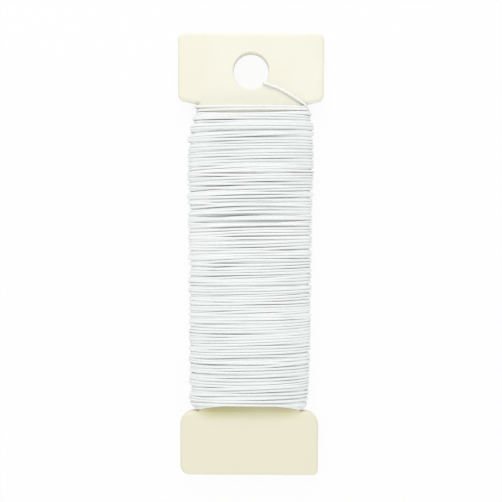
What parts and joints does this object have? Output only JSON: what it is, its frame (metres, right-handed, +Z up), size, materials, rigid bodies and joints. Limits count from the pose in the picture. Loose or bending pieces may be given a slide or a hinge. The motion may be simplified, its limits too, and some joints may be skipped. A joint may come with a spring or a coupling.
{
  "type": "wire spool",
  "caption": "Flat moulded paddle with a narrow neck, a hang hole in its wider tab, and coated binding wire wound round the neck.",
  "frame": {"origin": "on the surface that the winding lies on, under the middle of the paddle", "axes": "+Y along the paddle towards the tab with the hole, +X to the right of its front, +Z up out of its front face"},
  "size_m": [0.039, 0.12, 0.01],
  "materials": {
    "paddle_plastic": "satin",
    "wire_enamel": "gloss"
  },
  "bodies": {
    "root": {"paddle": "paddle_plastic", "inner_turns": "wire_enamel", "outer_turns": "wire_enamel", "wire_tail": "wire_enamel"}
  },
  "joints": []
}
